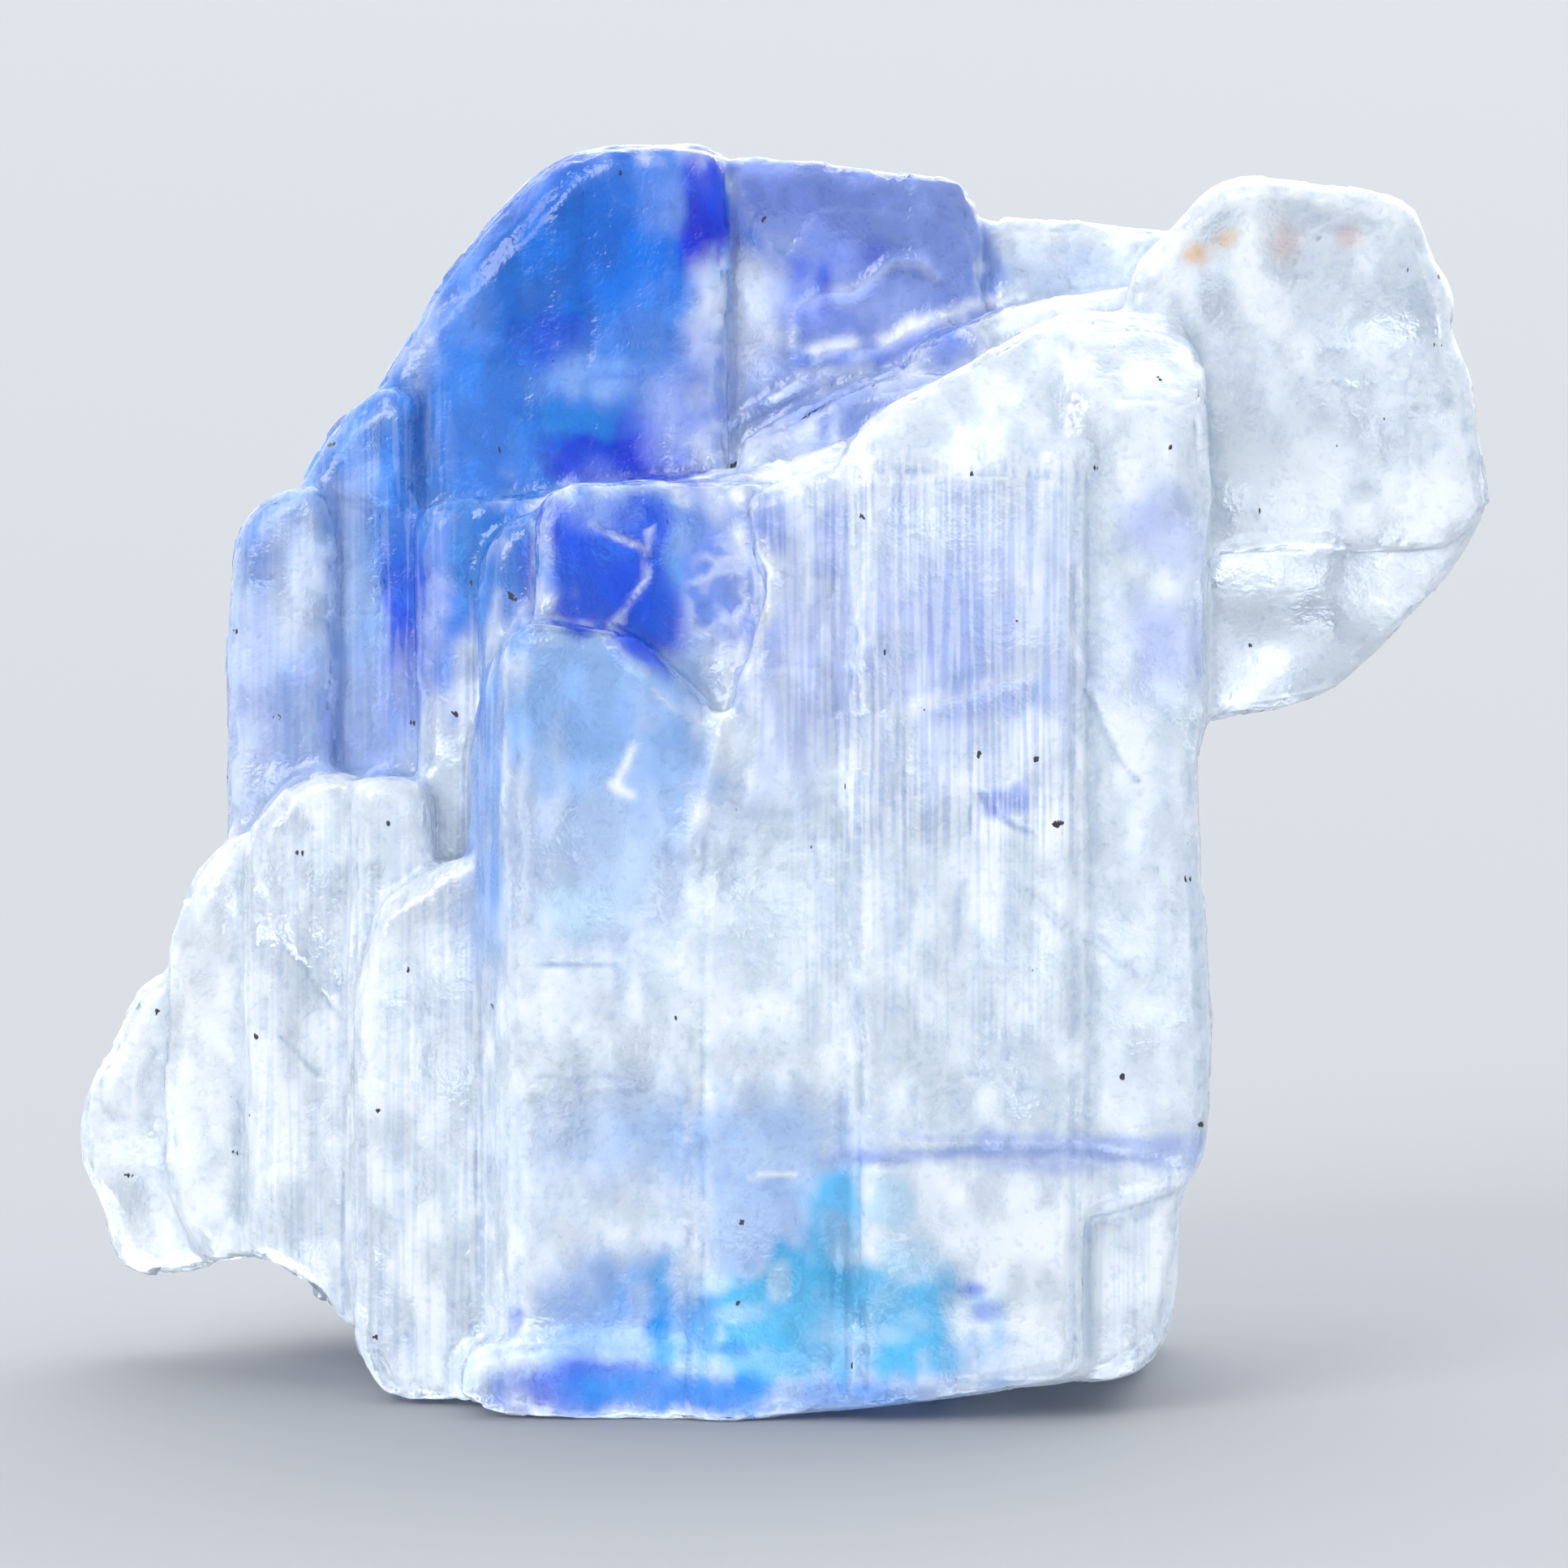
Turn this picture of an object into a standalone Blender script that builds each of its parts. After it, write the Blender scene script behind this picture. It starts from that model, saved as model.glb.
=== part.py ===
"""A cluster of halite crystals, grown together into one blocky mass of rock salt.

Metres, +Z up. The cluster stands on its base at Z = 0, centred over the origin, and -Y is its front.
Each crystal is drawn as it appears from the front, in millimetres right of and above the middle of
the base, and is then set at its own depth, so that the near and far crystals line up as they are seen.
"""

import math
import random
from dataclasses import dataclass

import bmesh
import bpy
from mathutils import Matrix, Vector

MM = 0.001

# The line of sight that the outlines are drawn for
SIGHT_DISTANCE = 350.0
SIGHT_ELEVATION = math.radians(5.0)
SIGHT_MIDDLE = 19.675
SIGHT_PLANE = -13.0

# The block below the floor that the base is cut with
FLOOR_CUT_REACH = 45.0
FLOOR_CUT_DEPTH = 20.0

# Rounding of the crystals, which damp air has softened
CORNER = 0.8
CORNER_STEPS = 2
RIM = 0.35
RIM_STEPS = 2
STRAIGHT = math.radians(14.0)
LONGEST_CUT = 0.42
NARROWING = 0.93

# Growth plates, which thicken a stretch of a crystal's side by a fraction of a millimetre
PLATE_SEED = 7
PLATE_LENGTH = (2.5, 9.0)
PLATE_DEPTH = (2.0, 6.0)
PLATE_PLACE = (0.3, 0.85)
PLATE_SCALE = (0.985, 1.0)

# Terraces, each smaller than the last, on the back of a crystal
TERRACE_HEIGHT = (0.2, 0.7)
TERRACE_SHRINK = (0.55, 0.85)
TERRACE_PLACE = (0.2, 0.9)
TERRACE_ROOT = 1.5

# Edges shorter than this are slivers that the joins leave
SLIVER = 0.05
SLIVER_ROUNDS = 4


@dataclass
class Crystal:
    """One block of salt. Its outline is as seen from the front, its front face lies at the depth front and
    its back face at the depth back. lean tilts the front face: millimetres deeper for each one right and up.
    Each chip is a flat break: the seen place and depth of a point on it, and the way that it faces."""

    name: str
    outline: list
    front: float
    back: float
    lean: tuple = (0.0, 0.0)
    corner: float = CORNER
    chips: tuple = ()
    plates: int = 3
    terraces: int = 2


def clear_scene():
    for old in list(bpy.data.objects):
        bpy.data.objects.remove(old, do_unlink=True)


def sight_height():
    """How high the middle of the view lies on the sight plane, so that a point seen at 0 is on the floor."""
    rise, run = math.sin(SIGHT_ELEVATION), math.cos(SIGHT_ELEVATION)
    steepness = SIGHT_MIDDLE / SIGHT_DISTANCE
    reach = SIGHT_DISTANCE * run / (run - steepness * rise)
    return reach * (rise + steepness * run) - SIGHT_DISTANCE * rise


def seen_at(across, up, depth):
    """The point at this depth, in millimetres, that appears this far across and up in the front view."""
    rise, run = math.sin(SIGHT_ELEVATION), math.cos(SIGHT_ELEVATION)
    eye_y = SIGHT_PLANE - SIGHT_DISTANCE * run
    eye_z = sight_height() + SIGHT_DISTANCE * rise
    slope = (up - SIGHT_MIDDLE) / SIGHT_DISTANCE
    reach = (depth - eye_y) / (run + slope * rise)
    return Vector((reach * across / SIGHT_DISTANCE, depth, eye_z + reach * (slope * run - rise)))


def rounded(outline, radius, steps):
    """The outline with an arc of so many steps in place of each sharp corner."""
    points = [Vector(point) for point in outline]
    smooth = []
    for i, corner in enumerate(points):
        back = points[i - 1] - corner
        ahead = points[(i + 1) % len(points)] - corner
        turn = math.pi - back.angle(ahead)
        if turn < STRAIGHT:
            smooth.append(corner)
            continue
        cut = min(radius * math.tan(turn / 2), LONGEST_CUT * back.length, LONGEST_CUT * ahead.length)
        start = corner + back.normalized() * cut
        end = corner + ahead.normalized() * cut
        for step in range(steps + 1):
            t = step / steps
            smooth.append(start * (1 - t) ** 2 + corner * 2 * t * (1 - t) + end * t ** 2)
    return smooth


def resized(outline, focus, scale):
    return [focus + (point - focus) * scale for point in outline]


def middle_of(outline):
    return sum(outline, Vector((0, 0))) / len(outline)


def rim_edges(near, far):
    """The edges round the front face and round the back face."""
    found = []
    for ring in (near, far):
        members = set(ring)
        found += {edge for vert in ring for edge in vert.link_edges if set(edge.verts) <= members}
    return found


def chip_off(mesh, point, facing):
    """Breaks off what lies past a flat plane, and closes the break."""
    parts = mesh.verts[:] + mesh.edges[:] + mesh.faces[:]
    cut = bmesh.ops.bisect_plane(mesh, geom=parts, plane_co=point, plane_no=facing, clear_outer=True)
    edges = [item for item in cut["geom_cut"] if isinstance(item, bmesh.types.BMEdge)]
    bmesh.ops.edgeloop_fill(mesh, edges=edges)


def break_off(crystal, mesh):
    """Gives a piece of a crystal the crystal's breaks."""
    for across, up, depth, facing in crystal.chips:
        chip_off(mesh, seen_at(across, up, depth), Vector(facing).normalized())


def as_object(name, mesh):
    """Puts a mesh drawn in millimetres into the scene, in metres."""
    mesh.transform(Matrix.Scale(MM, 4))
    data = bpy.data.meshes.new(name)
    mesh.to_mesh(data)
    mesh.free()
    block = bpy.data.objects.new(name, data)
    bpy.context.scene.collection.objects.link(block)
    return block


def prism(near, far):
    """A closed block between a near and a far ring of as many points."""
    mesh = bmesh.new()
    near = [mesh.verts.new(point) for point in near]
    far = [mesh.verts.new(point) for point in far]
    mesh.faces.new(near)
    mesh.faces.new(far[::-1])
    for i in range(len(near)):
        mesh.faces.new((near[i - 1], far[i - 1], far[i], near[i]))
    bmesh.ops.recalc_face_normals(mesh, faces=mesh.faces[:])
    return mesh, near, far


def body(crystal):
    """The crystal itself, a little narrower at the back, with softened rims and its breaks."""
    outline = rounded(crystal.outline, crystal.corner, CORNER_STEPS)
    middle = middle_of(outline)
    lean = Vector(crystal.lean)
    front = [seen_at(*point, crystal.front + lean.dot(point - middle)) for point in outline]
    back = [seen_at(*point, crystal.back) for point in resized(outline, middle, NARROWING)]
    mesh, near, far = prism(front, back)
    bmesh.ops.bevel(
        mesh, geom=rim_edges(near, far), offset=RIM, segments=RIM_STEPS, profile=0.5, affect="EDGES",
        clamp_overlap=True,
    )
    break_off(crystal, mesh)
    return as_object(crystal.name, mesh)


def plate(crystal, chance):
    """A stretch of one side that grew a little thicker than the rest, but no wider than the front face."""
    outline = rounded(crystal.outline, crystal.corner, 1)
    middle = middle_of(outline)
    outline = resized(outline, middle, chance.uniform(*PLATE_SCALE))
    sides = list(zip(outline, outline[1:] + outline[:1]))
    start, end = chance.choices(sides, weights=[(b - a).length for a, b in sides])[0]
    spot = start.lerp(end, chance.random())
    half_length = (end - start).normalized() * chance.uniform(*PLATE_LENGTH) / 2
    depth = crystal.front + (crystal.back - crystal.front) * chance.uniform(*PLATE_PLACE)
    half_depth = chance.uniform(*PLATE_DEPTH) / 2
    mesh, _, _ = prism(
        [seen_at(*point, depth - half_depth) for point in outline],
        [seen_at(*point, depth + half_depth) for point in outline],
    )
    for place, facing in (
        (spot + half_length, half_length), (spot - half_length, -half_length), (middle, middle - spot),
    ):
        chip_off(mesh, seen_at(*place, depth), Vector((facing.x, 0, facing.y)).normalized())
    break_off(crystal, mesh)
    return as_object(crystal.name + "_plate", mesh)


def terraces(crystal, chance):
    """Flat steps on the back, each one smaller than the one below it and inside its outline."""
    outline = rounded(crystal.outline, crystal.corner, 1)
    middle = middle_of(outline)
    focus = middle.lerp(chance.choice(outline), chance.uniform(*TERRACE_PLACE))
    depth = crystal.back
    for _ in range(crystal.terraces):
        outline = resized(outline, focus, chance.uniform(*TERRACE_SHRINK))
        height = chance.uniform(*TERRACE_HEIGHT)
        mesh, _, _ = prism(
            [seen_at(*point, depth - TERRACE_ROOT) for point in outline],
            [seen_at(*point, depth + height) for point in outline],
        )
        break_off(crystal, mesh)
        depth += height
        yield as_object(crystal.name + "_terrace", mesh)


def box(name, low, high):
    mesh = bmesh.new()
    bmesh.ops.create_cube(mesh, size=1)
    low, high = Vector(low), Vector(high)
    bmesh.ops.scale(mesh, vec=high - low, verts=mesh.verts)
    bmesh.ops.translate(mesh, vec=(low + high) / 2, verts=mesh.verts)
    return as_object(name, mesh)


def front_crystals():
    """The tall block at the front, which broke into upright panels at slightly different depths."""
    yield Crystal(
        "left_panel",
        [(-9.8, 0.6), (-9.85, 20.8), (-9.3, 23.2), (-8.5, 24.4), (-7.6, 24.9), (-4.6, 24.4),
         (-2.2, 22.2), (-1.2, 20), (-1.2, -1), (-6.0, -1), (-8.4, 0.15)],
        front=-12.4, back=4, lean=(-0.03, 0.01), chips=[(-8.4, 12, -12.3, (-0.93, -0.36, 0))],
    )
    yield Crystal(
        "blue_chip",
        [(-7.8, 14), (-7.75, 28.1), (-7.0, 29.0), (-1.5, 29.05), (0.6, 28.8), (0.6, 14)],
        front=-10.4, back=4, lean=(0.02, 0.04),
    )
    yield Crystal(
        "blue_chip_side",
        [(-9.4, 10), (-9.4, 26.3), (-8.8, 27.8), (-6.8, 28.3), (-6.8, 10)],
        front=-8.8, back=3, lean=(-0.1, 0.05),
    )
    yield Crystal(
        "middle_panel",
        [(-2.9, -1), (-2.8, 18), (-1.9, 21.5), (-0.6, 25.6), (-1.3, 28.7), (0.4, 29.2), (2.2, 30.0),
         (3.2, 30.0), (3.2, 0.55), (1.2, 0.35), (-0.8, 0.15), (-1.8, -1)],
        front=-12.8, back=4, lean=(0.0, 0.02), corner=0.4,
    )
    yield Crystal(
        "striated_panel",
        [(1.95, 0.3), (2.0, 30.5), (2.9, 31.3), (5.1, 32.5), (7.7, 34.1), (9.3, 34.2), (9.3, 1.25),
         (5.6, 0.8)],
        front=-13.2, back=4.6, lean=(0.02, 0.01), corner=0.4, chips=[(5, 29.2, -13.2, (0.05, -0.8, 0.6))],
    )
    yield Crystal(
        "right_panel",
        [(8.6, 6.0), (8.6, 34.1), (12.0, 33.9), (12.9, 33.2), (13.15, 28.2), (12.98, 25), (13.0, 21.9),
         (12.75, 20.6), (12.9, 17), (13.2, 12), (13.1, 9), (12.9, 7.9), (12.3, 7.1)],
        front=-12.4, back=4.8, lean=(0.06, 0.03), chips=[(11, 31.5, -12.2, (0.1, -0.6, 0.8))],
    )
    yield Crystal(
        "lower_right",
        [(1.5, 0.35), (1.5, 7.9), (12.45, 7.5), (12.28, 6.6), (12.25, 4.8), (11.85, 2.8), (11.2, 1.75),
         (10.35, 1.4), (7.7, 1.07), (4.6, 0.65)],
        front=-12.2, back=4.7, lean=(0.05, 0.0),
    )
    yield Crystal(
        "front_foot",
        [(-10.3, 0.7), (-10.0, 2.5), (4.2, 3.0), (5.2, 0.85), (2.2, 0.42), (0.2, 0.2), (-1.5, -0.4),
         (-6.2, -0.4), (-8.6, 0.2)],
        front=-12.6, back=2.2, lean=(0.03, -0.06), terraces=1,
    )


def left_crystals():
    """The columns that step back and out to the lower left."""
    yield Crystal(
        "left_column",
        [(-13.3, 2.9), (-13.3, 13), (-12.6, 16), (-10.8, 17.3), (-9.3, 17.6), (-9.3, 0.3), (-11.9, 0.55),
         (-12.5, 1.1), (-13.0, 1.9)],
        front=-9.4, back=2, lean=(-0.1, 0.02),
    )
    yield Crystal(
        "inner_ledge", [(-13.6, 4), (-13.4, 20.1), (-10.75, 19.9), (-10.6, 4)],
        front=-6.9, back=3, lean=(-0.05, 0.03),
    )
    yield Crystal(
        "ledge_column",
        [(-16.7, 5), (-16.7, 17.9), (-16.0, 19.0), (-15.0, 20.05), (-12.9, 20.25), (-12.9, 2.9),
         (-13.9, 3.1), (-14.0, 3.7), (-14.3, 4.15), (-15.0, 4.35), (-15.6, 4.8)],
        front=-5.8, back=4, lean=(-0.12, 0.04),
        chips=[(-16.3, 12, -5.2, (-0.8, -0.6, 0)), (-16.2, 12, 3.2, (-0.6, 0.8, 0.1))],
    )
    yield Crystal(
        "outer_column",
        [(-19.0, 7), (-18.9, 14.6), (-18.4, 16.2), (-18.0, 17.2), (-17.0, 18.1), (-16.0, 18.5),
         (-16.0, 4.9), (-17.9, 4.75)],
        front=-3.7, back=5, lean=(-0.12, 0.04), chips=[(-17.9, 16, 4.3, (-0.5, 0.8, 0.35))],
    )
    yield Crystal(
        "outer_shoulder",
        [(-21.7, 8.3), (-21.7, 9.7), (-21.0, 11.1), (-20.6, 11.7), (-20.1, 12.9), (-19.6, 13.5),
         (-19.1, 13.8), (-17.4, 14.0), (-17.4, 4.8), (-18.6, 4.6), (-19.4, 4.5), (-20.3, 4.75),
         (-20.7, 5.4), (-21.1, 6.9), (-21.6, 7.7)],
        front=-2.3, back=4.6, lean=(-0.2, 0.05), chips=[(-20.6, 8, 3.4, (-0.8, 0.6, -0.1))],
    )


def tower_crystals():
    """The blue crystals that rise behind the front block, and the pale ones right of them."""
    yield Crystal(
        "low_tower",
        [(-17.15, 15), (-17.15, 24), (-17.0, 27), (-16.5, 28.2), (-15.7, 28.75), (-13.8, 28.95), (-13.8, 15)],
        front=-1.3, back=7, lean=(-0.15, 0.06), corner=1.2, chips=[(-16.2, 24, 5.8, (-0.7, 0.65, 0.25))],
    )
    yield Crystal(
        "middle_tower",
        [(-14.9, 14), (-14.8, 29.1), (-13.9, 30.6), (-13.2, 31.3), (-12.5, 31.8), (-11.2, 32), (-11.2, 14)],
        front=-0.6, back=8.6, lean=(-0.1, 0.05), chips=[(-13.2, 30, 7.4, (-0.3, 0.7, 0.6))],
    )
    yield Crystal(
        "high_tower",
        [(-12.7, 12), (-12.6, 31.75), (-11.9, 32.8), (-10.65, 35.1), (-9.1, 37.1), (-7.6, 38.6),
         (-6.6, 39.15), (-5.1, 39.4), (-2.6, 39.4), (-1.7, 39.2), (-1.7, 12)],
        front=0.3, back=11, lean=(-0.04, 0.08), corner=1.2,
        chips=[(-9.6, 35, 0.4, (-0.62, -0.5, 0.6)), (-8, 35.5, 9.8, (-0.35, 0.75, 0.5))],
    )
    yield Crystal(
        "violet_block",
        [(-2.3, 20), (-2.2, 39.15), (1.1, 38.95), (5.1, 38.5), (5.65, 38.3), (5.9, 37.6), (6.15, 36.6),
         (6.15, 20)],
        front=1.4, back=9.6, lean=(0.03, 0.07), corner=0.9, chips=[(4.4, 36.8, 8.2, (0.3, 0.5, 0.8))],
    )
    yield Crystal(
        "pale_saddle", [(5.0, 20), (5.0, 37.25), (9.0, 37.0), (12.3, 36.75), (12.6, 20)],
        front=2.2, back=8.4, lean=(0.05, 0.08), corner=0.4,
    )


def terrace_crystals():
    """The broken terraces that climb from the front block's top edge to the crystals behind it."""
    climb = (-0.1, -0.45, 0.9)
    yield Crystal(
        "low_terrace", [(-6.5, 18), (-6.4, 28.7), (-1.5, 29.2), (3.2, 30.9), (3.4, 18)],
        front=-8.5, back=3, lean=(0.0, 0.1), chips=[(-1, 29.1, -7.5, climb)], terraces=0,
    )
    yield Crystal(
        "middle_terrace", [(-1.6, 20), (-1.4, 30.4), (2.5, 32.2), (6.4, 33.6), (6.6, 20)],
        front=-4.6, back=4, lean=(0.0, 0.15), chips=[(2.6, 31.8, -4.0, climb)], terraces=0,
    )
    yield Crystal(
        "high_terrace", [(3.6, 22), (3.8, 33.2), (6.8, 34.4), (11.2, 35.3), (11.2, 22)],
        front=-3.6, back=5, lean=(0.04, 0.18), chips=[(8.2, 34.4, -2.6, climb)], terraces=0,
    )
    yield Crystal(
        "right_terrace", [(7.8, 22), (7.9, 34.3), (12.4, 34.2), (13.0, 22)],
        front=-9.4, back=3, lean=(0.05, 0.12), terraces=0,
    )


def right_crystals():
    """The pale crystal that juts out at the upper right."""
    yield Crystal(
        "right_head",
        [(10.0, 29), (10.6, 35.5), (11.9, 36.85), (12.9, 37.9), (13.6, 38.35), (14.6, 38.42), (16.35, 38.2),
         (19.0, 37.8), (19.5, 37.4), (20.1, 35.7), (20.6, 35.0), (20.7, 34.4), (20.55, 33.8), (21.2, 32.0),
         (21.25, 30.8), (21.7, 28.7), (21.7, 27.9), (20.6, 27.0), (13.0, 26.6)],
        front=-6.2, back=7.4, lean=(0.22, 0.05), plates=6, terraces=3,
        chips=[(20.2, 32, 5.4, (0.75, 0.66, 0.1)), (16, 37.6, 5.6, (-0.1, 0.6, 0.8))],
    )
    yield Crystal(
        "right_chin",
        [(12.3, 21.9), (12.3, 30.2), (21.0, 29.2), (21.68, 27.9), (20.8, 26.4), (18.8, 24.3), (17.2, 22.75),
         (16.2, 22.2), (15.2, 21.95), (13.0, 21.65)],
        front=-5.4, back=6.4, lean=(0.25, -0.1),
        chips=[(16, 27.5, -5.4, (0.1, -0.85, -0.5)), (17.5, 24.5, 5.2, (0.3, 0.8, -0.5))],
    )


def back_crystals():
    """The stepped blocks of the back, which carry the cluster."""
    yield Crystal(
        "back_left", [(-11.2, 1.2), (-11.3, 28.4), (-1.0, 29.5), (-1.0, -1), (-8.6, -1)],
        front=-3, back=11.4, corner=0.6, plates=6, terraces=3,
        chips=[(-9.4, 22, 10.4, (-0.55, 0.8, 0.25)), (-6, 28.4, 9.6, (-0.1, 0.7, 0.7))],
    )
    yield Crystal(
        "back_middle", [(-3.5, -1), (-3.4, 24.2), (5.8, 25.0), (6.0, -1)],
        front=-3, back=12.6, corner=0.5, plates=6, terraces=3, chips=[(3.4, 23.8, 11.6, (0.4, 0.6, 0.7))],
    )
    yield Crystal(
        "back_right", [(5.0, -1.6), (5.0, 31.0), (12.0, 30.2), (12.1, 6.0), (11.0, 4.0), (10.8, -1.6)],
        front=4, back=8.8, corner=0.6, plates=6, terraces=3, chips=[(11, 26, 8.2, (0.7, 0.7, 0.1))],
    )
    yield Crystal(
        "back_step", [(-9.0, -2), (-8.8, 12.4), (1.6, 12.2), (1.8, -2)],
        front=2, back=13.6, corner=0.5, plates=6, terraces=3, chips=[(-8, 8, 12.6, (-0.7, 0.7, 0.1))],
    )
    yield Crystal(
        "back_ledge", [(-1.6, 12), (-1.5, 31.6), (3.2, 32.2), (3.4, 12)], front=2, back=11.2, corner=0.5,
    )
    yield Crystal(
        "side_column", [(-15.2, 5.6), (-15.0, 15.5), (-10.2, 16), (-10.2, 5.2)],
        front=-4, back=8.2, corner=0.5, plates=5, chips=[(-14.2, 10, 7.4, (-0.6, 0.8, 0.1))],
    )


def union(blocks):
    """All the crystals as one closed solid. They meet in many level faces, which only MANIFOLD joins."""
    whole = blocks[0]
    for block in blocks[1:]:
        join = whole.modifiers.new("join " + block.name, "BOOLEAN")
        join.operation = "UNION"
        join.solver = "MANIFOLD"
        join.object = block
    return whole


def missing_blocks():
    """Square pieces that broke away from the back, and all that lies below the floor."""
    reach = FLOOR_CUT_REACH
    yield box("below_floor", (-reach, -reach, -FLOOR_CUT_DEPTH), (reach, reach, 0))
    yield box("gone_low_right", (8.8, 6.6, -1), (14, 12, 13))
    yield box("gone_left", (-14, 9.6, 15.5), (-8.6, 14, 23.5))
    yield box("gone_middle", (2.4, 10.2, 17.5), (8, 15, 27))
    yield box("gone_head_top", (9, 4.6, 34.2), (14.8, 10, 42))
    yield box("gone_head_side", (17.4, 3.4, 25), (24, 10, 30.6))
    yield box("gone_tower", (-6.8, 8.2, 33.6), (-2.4, 14, 42))
    yield box("gone_low_tower", (-20, 4.4, 19.4), (-15.8, 9, 25))
    yield box("gone_step", (-3.8, 11.4, 8.6), (4, 16, 14))


def cut(whole, gone):
    for block in gone:
        break_away = whole.modifiers.new("less " + block.name, "BOOLEAN")
        break_away.operation = "DIFFERENCE"
        break_away.solver = "MANIFOLD"
        break_away.object = block


def salt():
    material = bpy.data.materials.new("halite")
    material.use_nodes = True
    shader = material.node_tree.nodes["Principled BSDF"]
    shader.inputs["Base Color"].default_value = (0.72, 0.80, 0.92, 1)
    shader.inputs["Roughness"].default_value = 0.3
    shader.inputs["IOR"].default_value = 1.544
    shader.inputs["Transmission Weight"].default_value = 0.5
    return material


def drop_slivers(mesh):
    """Shrinks each very short edge to a point, where that leaves the surface closed."""
    for _ in range(SLIVER_ROUNDS):
        for edge in [edge for edge in mesh.edges if edge.calc_length() < SLIVER * MM]:
            if not edge.is_valid:
                continue
            low, high = sorted(edge.verts, key=lambda vert: vert.co.z)
            near_low, near_high = ({link.other_vert(end) for link in end.link_edges} for end in (low, high))
            if len(near_low & near_high) == 2:
                bmesh.ops.pointmerge(mesh, verts=[low, high], merge_co=low.co)


def fill_sealed_gaps(mesh):
    """Drops every shell but the largest: the small closed gaps that the blocks leave between them."""
    left = set(mesh.verts)
    shells = []
    while left:
        ahead = [left.pop()]
        shell = set(ahead)
        while ahead:
            vert = ahead.pop()
            for edge in vert.link_edges:
                other = edge.other_vert(vert)
                if other in left:
                    left.remove(other)
                    shell.add(other)
                    ahead.append(other)
        shells.append(shell)
    outside = max(shells, key=len)
    bmesh.ops.delete(mesh, geom=[vert for vert in mesh.verts if vert not in outside], context="VERTS")


def tidy(data):
    """Centres the cluster over the origin, makes triangles, and drops slivers and sealed gaps."""
    mesh = bmesh.new()
    mesh.from_mesh(data)
    lows = [min(vert.co[axis] for vert in mesh.verts) for axis in range(2)]
    highs = [max(vert.co[axis] for vert in mesh.verts) for axis in range(2)]
    shift = Vector((-(lows[0] + highs[0]) / 2, -(lows[1] + highs[1]) / 2, 0))
    bmesh.ops.translate(mesh, vec=shift, verts=mesh.verts)
    bmesh.ops.triangulate(mesh, faces=mesh.faces)
    drop_slivers(mesh)
    fill_sealed_gaps(mesh)
    mesh.to_mesh(data)
    mesh.free()


def main():
    clear_scene()
    crystals = [
        *front_crystals(), *left_crystals(), *tower_crystals(), *terrace_crystals(), *right_crystals(),
        *back_crystals(),
    ]
    blocks = [body(crystal) for crystal in crystals]
    chance = random.Random(PLATE_SEED)
    for crystal in crystals:
        blocks += [plate(crystal, chance) for _ in range(crystal.plates)]
        blocks += terraces(crystal, chance)
    whole = union(blocks)
    gone = list(missing_blocks())
    cut(whole, gone)
    bpy.context.view_layer.update()
    graph = bpy.context.evaluated_depsgraph_get()
    solid = bpy.data.meshes.new_from_object(whole.evaluated_get(graph))
    for helper in [*blocks, *gone]:
        bpy.data.objects.remove(helper, do_unlink=True)
    tidy(solid)
    cluster = bpy.data.objects.new("halite_cluster", solid)
    bpy.context.scene.collection.objects.link(cluster)
    solid.materials.clear()
    solid.materials.append(salt())


main()
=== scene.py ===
"""The finish of a halite crystal cluster: worn cleavage faces, blue and violet zones and milky veils."""

import math

import bpy
import numpy as np
from mathutils import Matrix, Vector


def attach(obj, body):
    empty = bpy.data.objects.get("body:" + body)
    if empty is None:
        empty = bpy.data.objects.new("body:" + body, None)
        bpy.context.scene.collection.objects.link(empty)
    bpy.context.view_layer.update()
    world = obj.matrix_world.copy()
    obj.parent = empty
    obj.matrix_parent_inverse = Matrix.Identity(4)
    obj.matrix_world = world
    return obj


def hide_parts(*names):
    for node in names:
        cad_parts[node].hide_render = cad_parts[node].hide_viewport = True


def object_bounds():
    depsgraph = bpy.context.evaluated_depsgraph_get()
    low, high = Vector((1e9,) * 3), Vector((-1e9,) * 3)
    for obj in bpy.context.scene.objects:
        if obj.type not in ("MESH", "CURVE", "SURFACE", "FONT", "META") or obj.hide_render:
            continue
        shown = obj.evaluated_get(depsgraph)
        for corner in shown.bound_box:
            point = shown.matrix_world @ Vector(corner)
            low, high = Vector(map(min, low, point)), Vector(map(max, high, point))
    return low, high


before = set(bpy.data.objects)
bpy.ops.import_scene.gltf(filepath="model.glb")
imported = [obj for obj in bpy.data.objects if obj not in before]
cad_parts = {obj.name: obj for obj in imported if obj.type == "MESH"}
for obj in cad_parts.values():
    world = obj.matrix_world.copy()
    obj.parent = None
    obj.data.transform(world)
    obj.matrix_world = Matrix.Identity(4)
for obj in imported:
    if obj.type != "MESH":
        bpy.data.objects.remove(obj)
cad_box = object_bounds()

MM = 0.001
CAD_NODE = "halite_cluster"

# The line of sight that the crystals were drawn for, in millimetres
SIGHT_DISTANCE = 350.0
SIGHT_ELEVATION = math.radians(5.0)
SIGHT_MIDDLE = 19.675
SIGHT_PLANE = -13.0
SIGHT_WIDTH = 48.3
CENTRING = Vector((0.076, -0.573, 0.0))

# The fine mesh, in millimetres. The reach of a sliver is how far it stands out where its wear starts
# and where it is worn away whole.
VOXEL = 0.15
SMOOTHING_ROUNDS = 4
SLIVER_ROUNDS = 40
SLIVER_REACH = (0.3, 0.5)
SKIN = 0.05
WELD = 0.0001

# The thin fin behind the tower: its sides, its foot, and how far back it may reach at each height
FIN_SIDES = (-2.6, -1.5)
FIN_FOOT = 34.0
FIN_LEVEL = ((34.0, 36.5, 37.6, 38.7), (9.3, 9.3, 8.8, 7.6))

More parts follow.
